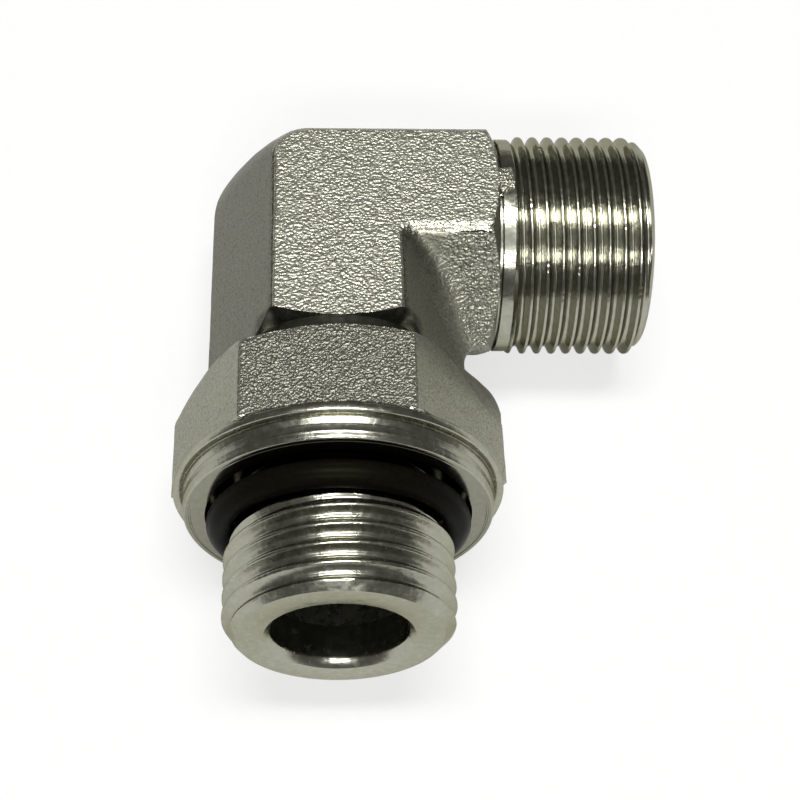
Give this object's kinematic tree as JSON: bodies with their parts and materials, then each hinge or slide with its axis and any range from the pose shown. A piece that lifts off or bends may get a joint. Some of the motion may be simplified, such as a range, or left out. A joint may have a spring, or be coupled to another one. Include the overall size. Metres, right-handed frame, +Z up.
{
  "type": "hydraulic elbow adapter",
  "caption": "Right-angle hydraulic adapter: a forged hexagonal elbow with a threaded stud, a collar with a seal ring, and a threaded 24 degree cone end for tube.",
  "frame": {"origin": "centre of the footprint, on the ground under the adapter, which lies on its side", "axes": "+Z up, square to the plane that holds both bores; the stud points along -Y and the tube end along +X"},
  "size_m": [0.046, 0.0558, 0.0304],
  "materials": {
    "plated_steel": "zinc-nickel plated, with shot-blasted forged flats and turned ends",
    "black_rubber": "smooth black nitrile rubber"
  },
  "bodies": {
    "root": {"elbow_body": "plated_steel", "seal_ring": "black_rubber"}
  },
  "joints": []
}
